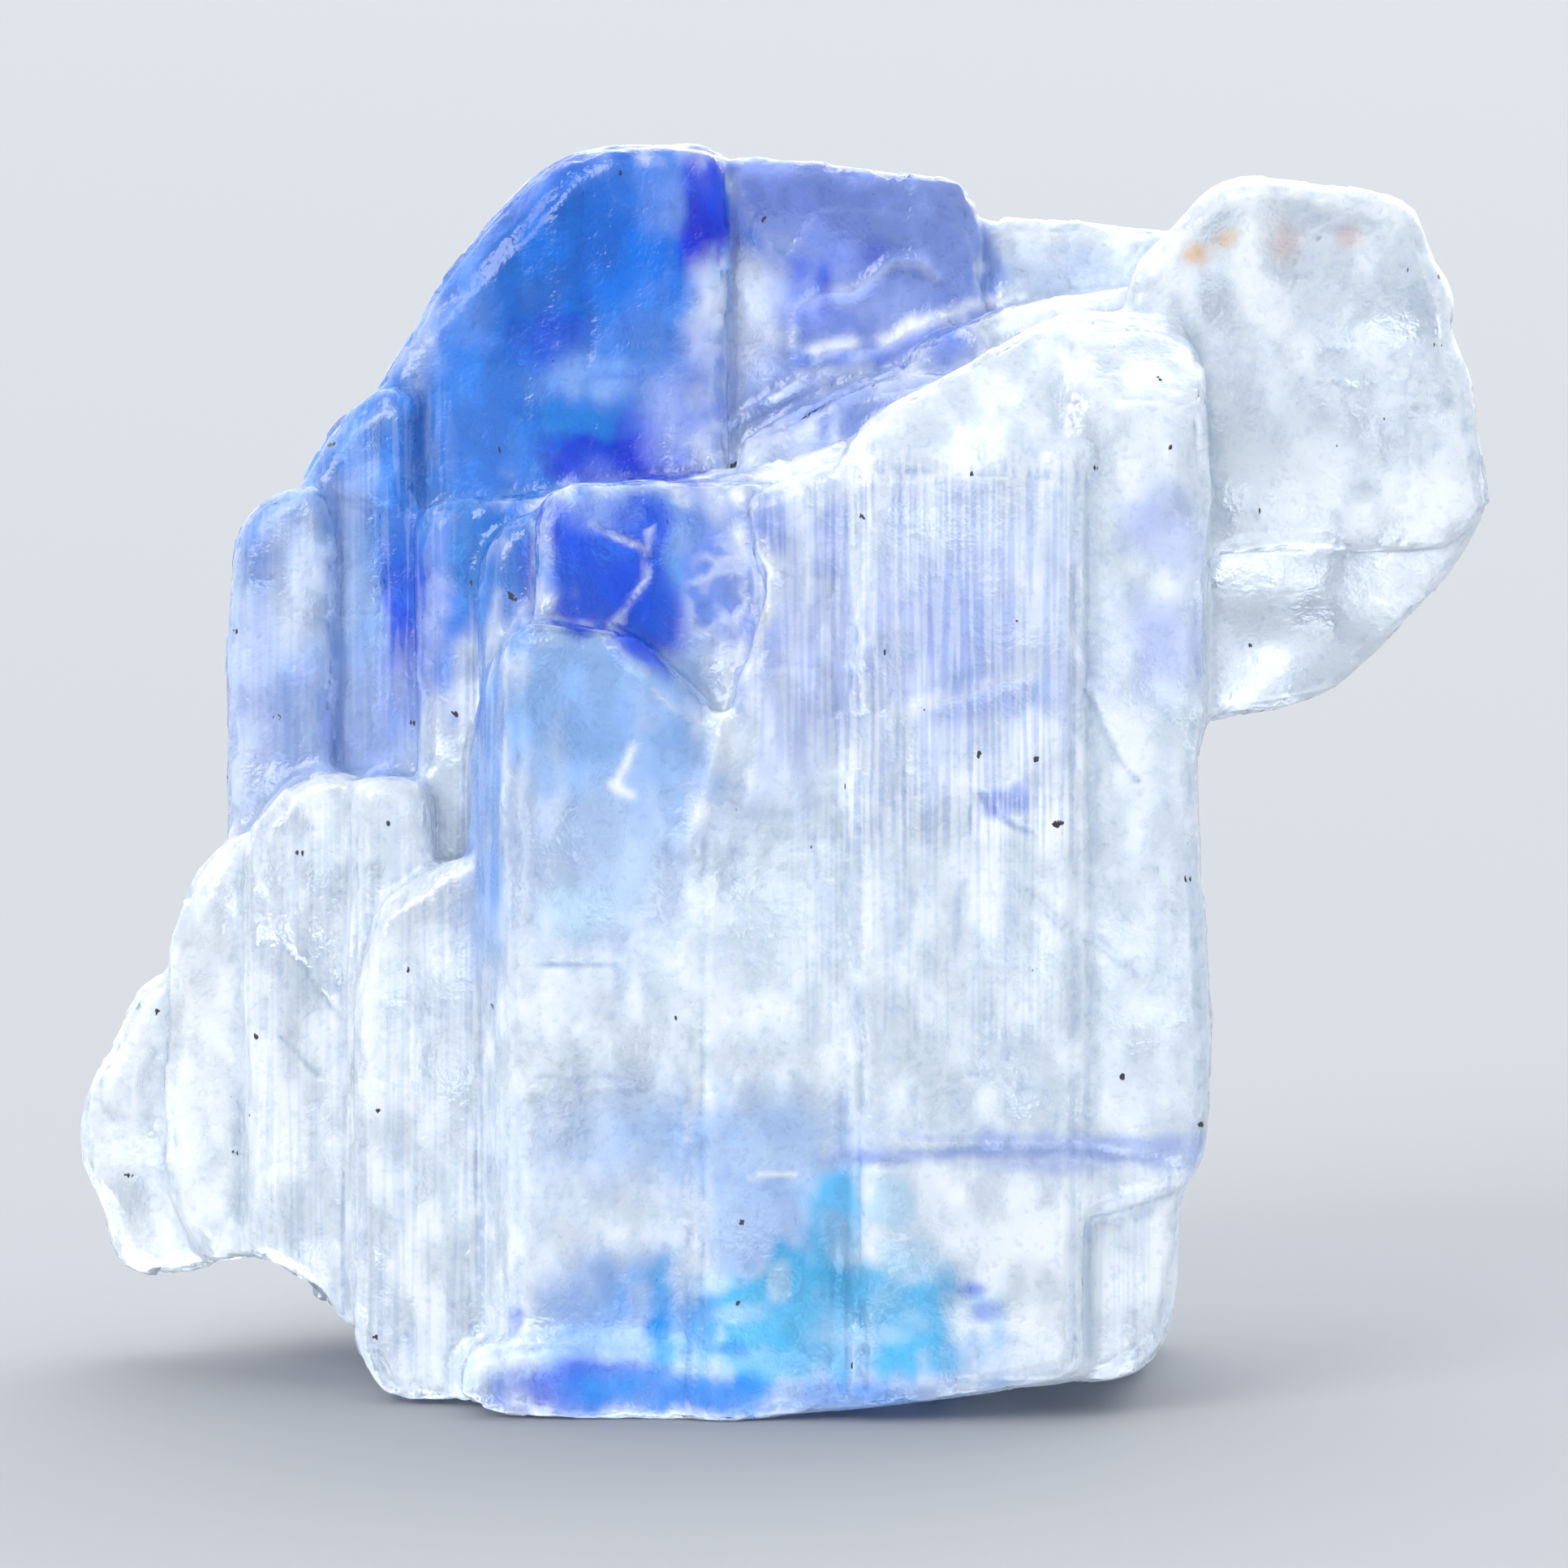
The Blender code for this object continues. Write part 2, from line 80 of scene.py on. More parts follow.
# The thinning of the mesh: the back is thinned most, and the front least
MOST_TRIANGLES = 190000
SPARE_LEVELS = 5
HIDDEN = (0.2, -0.3)
FRONT_CARE = 0.08

# How far a point stands out from its neighbourhood, in millimetres, where an edge or a hollow starts and
# where it is full
EDGE_ROUNDS = 8
EDGE = (0.004, 0.05)
# The marks on convex edges are bruises and painted highlights, and those in hollows are painted shade
EDGE_AND_HOLLOW_ROUNDS = 5
BRUISE_AND_HIGHLIGHT_EDGE = (0.004, 0.035)
HOLLOW = (-0.004, -0.035)

# Where a face counts as the front, by how far it looks that way: where that starts and where it is full
FRONT = (0.15, 0.5)

# Relief, in millimetres: the size of a pattern, its height and its seed. A pair of levels says where in a
# pattern something starts and where it is full.
WARP_SIZE = 3.0
WARP_SEEDS = (11, 12, 13)
SWELLS = (
    (5.0, 0.16, 21),
    (1.4, 0.09, 22),
)
CLEAVAGE_STEPS = (
    ((2.7, 2.7, 4.3), 0.22, 41),
    ((1.3, 1.1, 1.9), 0.13, 42),
    ((0.6, 0.6, 0.9), 0.07, 43),
)
STEP_WANDER = 1.6
BROKEN_SIZE = 6.0
BROKEN = (0.42, 0.62)
STEPS_KEPT = 0.3
STEPS_WORN_IN_FRONT = 0.65
EDGE_LOSS = 0.30
CHIP_SIZE = 0.9
COLUMN_SCALE = (1.3, 1.3, 0.07)
COLUMN_HEIGHT = 0.09
COMB_SCALE = (2.4, 0.4, 0.10)
COMB_HEIGHT = 0.10
FROTH_SIZE = 0.8
FROTH_HEIGHT = 0.16
FROTH_LEVEL = 0.6
RAGGED = 0.5
JITTER = 0.12
JITTER_SIZE = 0.5

# Colour: how far a zone's edge may wander, in millimetres and as a share of its half size, how ragged
# the edge is, and how strong each veil, each bruise with its painted edge highlight, and the painted
# shade in the hollows is
DRIFT_SIZE = 2.6
DRIFT_SEEDS = (81, 82, 83)
MOST_DRIFT = 2.6
DRIFT_SHARE = 1.4
FIBRE_SCALE = (1.6, 1.6, 0.35)
FIBRE_SHARE = 0.6
FRAY_SIZE = 0.9
FRAY_SHARE = 0.5
PATCH_SIZE = 2.0
PATCHY = (0.5, 0.72)
CLOUD_LOSS = 0.25
FROTH_RANGE = (0.72, 0.95)
FROTH_TINT_SHARE = 0.85
GAP_SIZE = 0.7
GAPS = (0.25, 0.55)
RAGGED_TINT = 0.4
MARK_TINT_WIDTH = 0.9
CLOUD_SCALE = (1.1, 1.1, 0.7)
LINE_SCALE = (2.4, 1.6, 0.22)
VEILED = (0.50, 0.70)
VEIL_SHARE = 0.4
LINED = (0.50, 0.72)
LINE_SHARE = 0.45
BRUISE_AND_HIGHLIGHT_SHARE = 0.45
DULL = (0.46, 0.30)
DULL_SHARE = 0.1
HOLLOW_SHADE_SHARE = 0.5
CLEAR_COVER = 0.6
BACK_COMBING = 0.3
PIGMENT_COMBING = 0.4


def linear(red, green, blue):
    """A screen colour, 0 to 255, as light."""
    return tuple(
        (part / 255 / 12.92 if part / 255 <= 0.04045 else ((part / 255 + 0.055) / 1.055) ** 2.4)
        for part in (red, green, blue)
    ) + (1.0,)


ICE = linear(232, 240, 247)
MILK = linear(250, 252, 253)
SHADE = linear(190, 201, 216)
PALE = linear(204, 216, 245)
AZURE = linear(0, 114, 222)
COBALT = linear(0, 58, 214)
DEEP = linear(0, 34, 205)
BLUE = linear(20, 124, 230)
CORNFLOWER = linear(76, 146, 234)
SKY = linear(132, 180, 244)
VIOLET = linear(104, 136, 228)
DUSK = linear(150, 172, 234)
LAVENDER = linear(172, 188, 242)
TURQUOISE = linear(44, 178, 236)
CYAN = linear(196, 230, 250)
STAIN = linear(243, 186, 120)
ROSE = linear(243, 212, 204)
SPECK = linear(46, 36, 36)


# Zones of colour inside the salt, painted in this order. Each has its tint, its middle as seen from the front
# (right, up) with its depth, its half sizes (across, up, deep), how square it is, how soft its edge is
# and its strength. All sizes are in millimetres.
ZONES = (
    # the towers on the left
    (SKY, (-13.6, 25.2, 2.5), (3.9, 6.6, 6.0), 4, 0.3, 0.9),
    (CORNFLOWER, (-13.2, 30.4, 2.0), (2.0, 2.4, 6.0), 2, 0.5, 0.8),
    (BLUE, (-16.0, 28.0, 1.0), (1.3, 2.0, 9.0), 2, 0.5, 0.95),
    (ICE, (-15.0, 25.8, 1.0), (0.9, 2.4, 6.0), 3, 0.5, 0.8),
    (PALE, (-13.2, 28.4, 1.0), (0.7, 0.9, 3.0), 2, 0.6, 0.7),
    (CORNFLOWER, (-12.1, 27.6, 1.0), (0.5, 3.0, 4.0), 3, 0.6, 0.8),
    (VIOLET, (-10.7, 25.8, -3.0), (0.9, 4.6, 10.0), 3, 0.4, 0.9),
    (COBALT, (-11.5, 27.6, 0.0), (0.5, 1.6, 8.0), 3, 0.5, 0.95),
    (COBALT, (-11.7, 25.0, 0.0), (0.7, 2.3, 8.0), 4, 0.35, 0.95),
    (AZURE, (-9.6, 26.6, -3.0), (0.8, 3.4, 10.0), 3, 0.4, 0.95),
    (LAVENDER, (-13.6, 21.6, 1.0), (3.0, 1.8, 3.0), 3, 0.6, 0.85),
    (PALE, (-16.4, 22.0, 1.0), (0.7, 4.5, 4.0), 3, 0.6, 0.9),
    (VIOLET, (-11.8, 21.8, 0.0), (0.5, 0.9, 2.0), 2, 0.6, 0.6),
    # the blue tower
    (BLUE, (-10.2, 32.4, 4.0), (3.2, 5.8, 9.0), 3, 0.4, 0.8),
    (BLUE, (-6.8, 33.4, 4.0), (4.4, 6.4, 8.0), 4, 0.2, 0.95),
    (AZURE, (-5.0, 35.8, 5.0), (3.3, 3.6, 9.0), 4, 0.25, 0.98),
    (AZURE, (-8.4, 34.4, 5.0), (0.9, 1.6, 8.0), 2, 0.5, 0.8),
    (COBALT, (-7.2, 33.6, 4.0), (1.2, 1.0, 6.0), 2, 0.5, 0.9),
    (LAVENDER, (-3.3, 37.5, 1.0), (0.8, 0.7, 2.5), 2, 0.8, 0.5),
    (CORNFLOWER, (-3.9, 33.4, 1.0), (1.5, 1.3, 4.0), 2, 0.8, 0.8),
    (SKY, (-5.6, 32.3, 0.5), (1.5, 0.6, 3.0), 3, 0.5, 0.9),
    (AZURE, (-2.7, 33.6, 1.0), (0.25, 0.35, 2.0), 2, 0.7, 0.8),
    (CORNFLOWER, (-9.8, 29.6, 0.0), (1.6, 2.8, 4.0), 3, 0.6, 0.6),
    (AZURE, (-5.9, 30.7, 0.0), (2.1, 1.1, 7.0), 3, 0.35, 0.98),
    (COBALT, (-4.4, 30.4, 0.0), (0.8, 0.8, 7.0), 3, 0.4, 0.9),
    (DEEP, (-5.1, 29.7, -3.0), (2.7, 0.8, 9.0), 4, 0.3, 0.98),
    # the violet block and the pale window in it
    (VIOLET, (2.2, 36.4, 5.0), (4.2, 3.4, 9.0), 6, 0.12, 0.88),
    (DUSK, (4.4, 36.6, 5.0), (2.0, 2.0, 8.0), 3, 0.6, 0.75),
    (COBALT, (-2.5, 37.3, 4.0), (0.6, 2.0, 9.0), 4, 0.3, 0.95),
    (DEEP, (-2.6, 36.4, 4.0), (0.7, 1.0, 9.0), 2, 0.5, 0.95),
    (AZURE, (-1.1, 36.3, 1.5), (0.35, 0.45, 2.5), 2, 0.6, 0.6),
    (COBALT, (0.3, 35.6, 1.5), (0.5, 0.4, 2.5), 2, 0.7, 0.5),
    (COBALT, (1.2, 35.0, 1.5), (0.25, 0.7, 2.5), 2, 0.6, 0.7),
    (COBALT, (2.7, 36.1, 1.5), (0.45, 0.4, 2.5), 2, 0.7, 0.5),
    (ICE, (-1.4, 33.8, 1.0), (1.3, 2.1, 5.0), 4, 0.35, 0.9),
    (LAVENDER, (-3.2, 31.0, 0.0), (0.9, 1.3, 4.0), 2, 0.6, 0.9),
    (MILK, (-2.6, 31.5, 0.0), (0.35, 0.4, 3.0), 2, 0.6, 0.9),
    (MILK, (-2.5, 30.0, 0.0), (0.25, 0.4, 3.0), 2, 0.6, 0.8),
    # the terraces
    (VIOLET, (1.2, 31.6, -2.0), (4.4, 2.0, 5.0), 2, 0.5, 0.8),
    (VIOLET, (5.0, 33.2, -1.0), (1.4, 0.9, 4.0), 2, 0.5, 0.7),
    (SKY, (8.6, 35.4, 2.0), (2.6, 0.9, 4.0), 2, 0.9, 0.4),
    # the corner broken out of the front block, and the wash below it
    (SKY, (-5.6, 18.6, -11.5), (3.6, 4.0, 4.0), 2, 0.8, 0.55),
    (SKY, (-5.8, 22.2, -11.5), (3.3, 2.8, 4.0), 3, 0.4, 0.9),
    (AZURE, (-8.3, 27.2, -7.0), (1.0, 2.8, 6.0), 3, 0.4, 0.95),
    (CORNFLOWER, (-4.6, 26.6, -10.0), (2.9, 2.3, 5.0), 5, 0.2, 0.95),
    (COBALT, (-5.3, 26.2, -10.0), (2.3, 2.2, 5.0), 4, 0.25, 0.98),
    (COBALT, (-4.0, 24.9, -11.0), (1.3, 1.7, 5.0), 3, 0.3, 0.98),
    (VIOLET, (-1.6, 26.1, -11.0), (1.3, 3.0, 6.0), 3, 0.4, 0.9),
    (CORNFLOWER, (-9.3, 19.4, -11.5), (0.7, 4.8, 6.0), 3, 0.6, 0.85),
    (BLUE, (-9.35, 20.0, -11.5), (0.14, 3.4, 3.0), 4, 0.6, 0.6),
    (CYAN, (-6.7, 15.9, -12.5), (0.9, 0.8, 2.0), 2, 0.8, 0.7),
    # the dull violet windows of the right panels
    (VIOLET, (1.5, 27.2, -12.6), (0.55, 1.1, 2.0), 5, 0.25, 0.6),
    (LAVENDER, (0.1, 24.2, -12.6), (1.9, 4.4, 2.0), 2, 0.8, 0.7),
    (LAVENDER, (5.6, 24.4, -13.0), (3.4, 4.0, 2.0), 2, 0.8, 0.65),
    (DUSK, (5.4, 24.6, -13.0), (1.3, 1.7, 2.0), 3, 0.5, 0.6),
    (DUSK, (6.6, 22.4, -13.0), (1.9, 0.8, 2.0), 3, 0.5, 0.55),
    (VIOLET, (11.8, 27.4, -12.0), (1.1, 1.2, 3.0), 2, 0.6, 0.6),
    (VIOLET, (11.9, 23.8, -12.0), (1.4, 1.6, 3.0), 3, 0.6, 0.6),
    (VIOLET, (6.9, 19.2, -13.0), (0.75, 0.5, 1.5), 3, 0.3, 0.75),
    # the foot
    (SKY, (-5.8, 8.4, -12.5), (3.0, 2.0, 3.0), 2, 0.8, 0.4),
    (SKY, (-0.9, 8.8, -12.5), (3.8, 1.3, 3.0), 2, 0.8, 0.7),
    (SKY, (-0.6, 6.2, -12.5), (2.2, 1.7, 3.0), 3, 0.5, 0.7),
    (SKY, (-1.5, 1.9, -12.5), (7.6, 0.9, 6.0), 4, 0.4, 0.8),
    (TURQUOISE, (0.6, 3.2, -12.0), (4.7, 1.8, 5.0), 4, 0.2, 0.95),
    (TURQUOISE, (1.7, 6.0, -12.0), (1.0, 1.7, 4.0), 3, 0.35, 0.85),
    (BLUE, (-3.0, 3.3, -12.0), (1.0, 1.0, 4.0), 2, 0.6, 0.5),
    (CYAN, (-2.5, 4.4, -12.6), (0.9, 0.3, 2.0), 2, 0.5, 0.8),
    (CYAN, (-1.6, 3.4, -12.6), (0.8, 0.35, 2.0), 2, 0.6, 0.6),
    (CYAN, (-0.2, 4.3, -12.6), (0.35, 0.55, 2.0), 3, 0.4, 0.7),
    (CYAN, (1.9, 5.2, -12.6), (0.4, 0.45, 2.0), 2, 0.5, 0.6),
    (CYAN, (2.3, 2.6, -12.6), (1.3, 0.3, 2.0), 2, 0.6, 0.6),
    (CYAN, (3.3, 6.7, -12.6), (0.7, 0.8, 2.0), 3, 0.3, 0.9),
    (CYAN, (3.8, 5.0, -12.6), (1.0, 0.6, 2.0), 3, 0.4, 0.8),
    (MILK, (5.6, 6.6, -12.6), (0.9, 1.6, 2.0), 3, 0.4, 0.6),
    (CORNFLOWER, (-5.3, 3.8, -12.0), (2.4, 1.6, 4.0), 2, 0.7, 0.8),
    (AZURE, (-3.9, 2.9, -12.6), (0.45, 0.4, 1.5), 2, 0.5, 0.9),
    (AZURE, (-1.7, 2.3, -12.6), (0.6, 0.3, 1.5), 2, 0.5, 0.9),
    (COBALT, (-8.2, 3.2, -12.6), (0.3, 0.5, 1.5), 2, 0.5, 0.7),
    (BLUE, (0.8, 0.8, -12.0), (4.8, 0.5, 6.0), 3, 0.5, 0.8),
    (COBALT, (-6.2, 1.2, -12.0), (2.6, 0.7, 8.0), 3, 0.4, 0.85),
    (AZURE, (-3.8, 0.9, -12.0), (2.6, 0.7, 8.0), 3, 0.4, 0.9),
    (VIOLET, (5.7, 4.1, -12.6), (0.5, 0.25, 1.5), 2, 0.5, 0.95),
    (VIOLET, (6.1, 3.4, -12.6), (0.5, 0.3, 1.5), 2, 0.5, 0.85),
    (DUSK, (9.6, 8.3, -13.0), (3.6, 0.6, 3.0), 3, 0.4, 0.8),
    (DUSK, (3.6, 8.2, -13.0), (2.4, 0.2, 2.0), 2, 0.6, 0.8),
    # milky, dull and stained places on the pale crystals
    (MILK, (16.4, 25.6, -3.0), (5.6, 4.0, 12.0), 2, 0.8, 0.6),
    (MILK, (-14.6, 12.0, -6.0), (3.2, 6.0, 8.0), 2, 0.8, 0.3),
    (MILK, (9.6, 4.2, -12.0), (3.4, 3.4, 5.0), 2, 0.8, 0.4),
    (SHADE, (-12.2, 17.2, -9.0), (1.3, 0.7, 3.0), 2, 0.7, 0.7),
    (SHADE, (16.9, 31.4, -4.0), (2.6, 2.2, 3.0), 2, 0.8, 0.45),
    (STAIN, (12.8, 36.1, -5.0), (0.4, 0.4, 8.0), 2, 0.8, 0.95),
    (STAIN, (13.7, 36.5, -5.0), (0.4, 0.25, 8.0), 2, 0.8, 0.8),
    (ROSE, (15.5, 36.4, -4.6), (0.4, 0.6, 8.0), 2, 0.8, 0.9),
    (ROSE, (17.4, 36.6, -4.0), (0.4, 0.3, 8.0), 2, 0.8, 0.9),
)

# Where the salt is milkier: the middle (right, up, depth), the half sizes and how much. The soft edges
# here and below run from none to all of it, as shares of the half sizes.
MILKY_EDGE = (1.2, 0.7)
MILKY = (
    ((16.4, 26.4, 0.0), (6.0, 4.4, 16.0), 0.16),
    ((9.4, 4.2, -10.0), (4.4, 4.0, 8.0), 0.16),
    ((-18.0, 9.0, 0.0), (4.0, 6.0, 14.0), 0.1),
)

# Cracks, ridges and broken edges on the front: the points of each (right, up), its half width, its height,
# its tint and its strength. All sizes are in millimetres.
MARKS = (
    # the terraces above the front block
    ([(0.4, 32.7), (1.3, 33.1), (3.2, 33.3), (4.0, 33.8), (5.1, 34.0), (5.8, 34.3), (7.2, 34.8)],
     0.3, 0.18, MILK, 0.9),
    ([(5.1, 34.0), (5.8, 33.6), (6.2, 33.1)], 0.2, 0.1, PALE, 0.8),
    ([(1.2, 31.8), (1.6, 30.9), (1.6, 30.2)], 0.16, 0.08, PALE, 0.7),
    ([(0.2, 33.1), (0.3, 34.2), (1.2, 34.8), (2.2, 34.9), (3.3, 35.7), (4.2, 35.7), (4.7, 35.2)],
     0.2, 0.14, PALE, 0.9),
    ([(-2.2, 30.6), (-1.6, 30.8), (0.0, 31.7), (0.6, 32.2)], 0.16, 0.12, PALE, 0.9),
    ([(-2.3, 29.6), (-0.8, 29.9), (0.9, 30.6)], 0.2, 0.1, PALE, 0.8),
    # the rim of the broken corner and the crack across it
    ([(-8.1, 24.9), (-7.6, 25.3), (-7.55, 27.8), (-7.2, 28.6), (-6.6, 28.9), (-4.2, 28.9), (-1.6, 28.9)],
     0.2, 0.1, PALE, 0.8),
    ([(-5.9, 27.7), (-5.0, 27.2), (-4.2, 26.8), (-4.2, 26.0), (-5.0, 24.9), (-5.4, 24.3)],
     0.1, 0.08, PALE, 0.9),
    ([(-4.1, 27.5), (-4.2, 26.8)], 0.1, 0.05, PALE, 0.8),
    ([(-8.9, 24.2), (-8.1, 24.7), (-7.0, 24.6), (-5.4, 24.4), (-4.6, 23.2), (-4.2, 23.1)],
     0.14, 0.12, PALE, 0.8),
    ([(-4.0, 22.6), (-3.0, 21.7), (-2.4, 21.6)], 0.1, 0.06, PALE, 0.8),
    ([(-4.6, 20.9), (-5.1, 19.7)], 0.16, 0.06, MILK, 0.8),
    ([(-5.3, 19.6), (-4.6, 19.4)], 0.2, 0.08, MILK, 0.9),
    # the long fracture down the front
    ([(-1.5, 28.8), (-1.3, 27.4), (-0.5, 26.3), (-0.7, 25.0),
      (-1.4, 23.4), (-1.9, 21.8), (-2.3, 20.0), (-2.7, 18.0)],
     0.45, 0.24, MILK, 1.0),
    ([(-2.7, 18.0), (-2.9, 14.0), (-3.1, 10.4)], 0.16, 0.06, MILK, 0.5),
    ([(-0.3, 29.0), (-0.6, 29.2), (1.7, 30.1)], 0.2, 0.06, MILK, 0.7),
    ([(2.15, 29.6), (2.3, 26.6), (2.4, 22.0)], 0.14, 0.12, MILK, 0.9),
    ([(2.6, 29.4), (2.75, 24.0)], 0.1, 0.08, MILK, 0.7),
    ([(0.6, 28.6), (0.7, 25.2)], 0.12, 0.06, MILK, 0.7),
    ([(3.2, 21.6), (4.6, 22.3), (6.2, 22.7), (7.6, 23.1)], 0.3, 0.08, MILK, 0.6),
    # a painted highlight: the white streak along the edge between the front face and its sloping top facet
    ([(4.6, 29.2), (6.2, 29.15), (8.1, 29.1)], 0.12, 0.08, MILK, 1.0),
    ([(6.0, 19.4), (6.6, 18.7), (7.6, 18.2)], 0.14, -0.12, DUSK, 0.6),
    # the left edge of the front block
    ([(-8.6, 24.0), (-8.65, 18.0), (-8.5, 12.8)], 0.1, 0.08, MILK, 0.8),
    ([(-8.6, 27.2), (-8.8, 25.6), (-9.0, 24.2)], 0.14, 0.1, PALE, 0.7),
    ([(-9.6, 12.5), (-9.6, 3.0)], 0.12, 0.06, MILK, 0.5),
    # hair cracks
    ([(-8.3, 14.2), (-7.2, 14.1), (-6.6, 14.2), (-5.1, 14.0)], 0.06, -0.07, DUSK, 0.7),
    ([(9.4, 22.4), (9.9, 21.2), (10.2, 20.4), (10.9, 19.7)], 0.09, -0.1, SHADE, 0.8),
    ([(7.6, 16.4), (8.7, 15.3), (9.7, 14.9), (10.9, 13.8)], 0.08, -0.1, SHADE, 0.8),
    ([(-15.2, 14.8), (-14.4, 13.6), (-13.7, 12.5)], 0.07, -0.1, SHADE, 0.9),
    ([(-15.5, 12.0), (-14.8, 11.2), (-14.3, 10.7)], 0.07, -0.08, SHADE, 0.8),
    # the band of cracks above the foot
    ([(1.3, 8.0), (5.2, 8.4), (8.2, 8.5), (11.1, 8.2), (12.7, 7.7)], 0.3, -0.06, DUSK, 0.6),
    ([(3.6, 8.9), (6.2, 8.8), (9.0, 8.75), (12.2, 8.4)], 0.12, 0.08, LAVENDER, 0.7),
    ([(2.6, 8.3), (7.0, 8.15), (12.4, 7.9)], 0.08, 0.08, PALE, 0.8),
    # painted highlights: small white glints on the front, and a faint upright white line
    ([(-6.1, 10.2), (-5.6, 10.3)], 0.14, 0.04, MILK, 1.0),
    ([(-1.0, 7.6), (0.4, 7.65)], 0.08, 0.04, MILK, 1.0),
    ([(-3.6, 6.2), (-3.1, 6.2)], 0.12, 0.04, MILK, 1.0),
    ([(11.7, 10.6), (11.7, 9.8)], 0.08, 0.04, MILK, 1.0),
    ([(-3.0, 10.4), (-3.0, 5.6)], 0.06, 0.03, MILK, 0.6),
)

# Where the front is combed with upright growth lines: middle (right, up), half sizes and strength
COMBED_EDGE = (1.1, 0.8)
COMBED = (
    ((5.4, 23.6), (3.8, 6.4), 1.0),
    ((0.6, 24.6), (1.7, 4.4), 0.8),
    ((-9.4, 14.0), (0.7, 11.0), 0.7),
    ((4.4, 15.6), (4.5, 4.0), 0.4),
    ((-12.6, 10.0), (4.0, 9.0), 0.45),
    ((-14.0, 26.0), (4.0, 6.0), 0.35),
    ((10.8, 5.0), (2.5, 3.4), 0.5),
)


# The frothy patch right of the broken corner: middle (right, up) and half sizes
FOAM_EDGE = (1.1, 0.6)
FOAM = ((-1.7, 25.2), (1.5, 2.3))


def sight_height():
    rise, run = math.sin(SIGHT_ELEVATION), math.cos(SIGHT_ELEVATION)
    steepness = SIGHT_MIDDLE / SIGHT_DISTANCE
    reach = SIGHT_DISTANCE * run / (run - steepness * rise)
    return reach * (rise + steepness * run) - SIGHT_DISTANCE * rise


def appears_at(points):
    """Each point of an array as the front view has it: how far right, how far up and how deep."""
    rise, run = math.sin(SIGHT_ELEVATION), math.cos(SIGHT_ELEVATION)
    eye = np.array([0, SIGHT_PLANE - SIGHT_DISTANCE * run, sight_height() + SIGHT_DISTANCE * rise])
    own = points - np.array(CENTRING)
    ray = own - eye
    reach = ray[:, 1] * run - ray[:, 2] * rise
    lift = ray[:, 1] * rise + ray[:, 2] * run
    across, up = (axis * SIGHT_DISTANCE / reach for axis in (ray[:, 0], lift))
    return np.stack([across, up + SIGHT_MIDDLE, own[:, 1]], axis=1)


# Noise in space

LATTICE = 64


def lattice_noise(points, seed):
    """Smooth noise from 0 to 1, one bump to a unit."""
    table = np.random.RandomState(seed).rand(LATTICE, LATTICE, LATTICE).astype(np.float32)
    cell = np.floor(points).astype(np.int64)
    part = points - cell
    part = part * part * (3 - 2 * part)
    total = np.zeros(len(points))
    for corner in np.ndindex(2, 2, 2):
        at = (cell + corner) % LATTICE
        share = np.prod(np.where(np.array(corner) == 1, part, 1 - part), axis=1)
        total += table[at[:, 0], at[:, 1], at[:, 2]] * share
    return total


def layered_noise(points, seed, layers=3):
    total, weight = np.zeros(len(points)), 0.0
    for layer in range(layers):
        share = 0.5 ** layer
        total += lattice_noise(points * 2 ** layer, seed + layer) * share
        weight += share
    return total / weight


def web_noise(points, seed, layers=2):
    """A web of thin lines: 1 on a line, falling to 0 between."""
    return 1 - np.abs(2 * layered_noise(points, seed, layers) - 1)


def block_noise(points, seed):
    """A random height from 0 to 1 for each square block of space."""
    table = np.random.RandomState(seed).rand(LATTICE, LATTICE, LATTICE)
    cell = np.floor(points).astype(np.int64) % LATTICE
    return table[cell[:, 0], cell[:, 1], cell[:, 2]]


def smooth_step(low, high, value):
    t = np.clip((value - low) / (high - low), 0, 1)
    return t * t * (3 - 2 * t)


# Mesh

def points_of(mesh):
    points = np.empty(len(mesh.vertices) * 3, np.float32)
    mesh.vertices.foreach_get("co", points)
    return points.reshape(-1, 3).astype(float)


def arrays_of(mesh):
    """The mesh's points, the normals there, and the pairs of points that its edges join."""
    normals = np.empty(len(mesh.vertices) * 3, np.float32)
    mesh.vertex_normals.foreach_get("vector", normals)
    edges = np.empty(len(mesh.edges) * 2, np.int32)
    mesh.edges.foreach_get("vertices", edges)
    return points_of(mesh), normals.reshape(-1, 3).astype(float), edges.reshape(-1, 2)


def placed(mesh, points):
    mesh.vertices.foreach_set("co", points.astype(np.float32).ravel())
    mesh.update()


def neighbour_mean(values, edges):
    count = np.bincount(edges.ravel(), minlength=len(values)).astype(float)
    mean = np.empty_like(values)
    for axis in range(values.shape[1]):
        column = values[:, axis]
        mean[:, axis] = np.bincount(edges[:, 0], column[edges[:, 1]], len(values))
        mean[:, axis] += np.bincount(edges[:, 1], column[edges[:, 0]], len(values))
    return mean / count[:, None]


def bend_of(points, normals, edges, rounds):
    """How far each point stands out from its wider neighbourhood, in millimetres."""
    wide = points
    for _ in range(rounds):
        wide = neighbour_mean(wide, edges)
    return np.einsum("ij,ij->i", points - wide, normals)


def without_slivers(points, normals, edges):
    """Thin fins and pins of salt, which would have broken off, worn back into the crystal behind them."""
    wide, outward = points, normals
    for _ in range(SLIVER_ROUNDS):
        wide, outward = neighbour_mean(wide, edges), neighbour_mean(outward, edges)
    outward = outward / np.linalg.norm(outward, axis=1, keepdims=True)
    out = np.einsum("ij,ij->i", points - wide, outward)
    return points + smooth_step(*SLIVER_REACH, out)[:, None] * (wide - points)


def break_fin(mesh):
    """Breaks the thin fin behind the tower off, level with the block beside it."""
    points = points_of(mesh)
    across, back, up = points.T
    fin = (across > FIN_SIDES[0]) & (across < FIN_SIDES[1]) & (up > FIN_FOOT)
    back[fin] = np.minimum(back[fin], np.interp(up[fin], *FIN_LEVEL))
    placed(mesh, points)


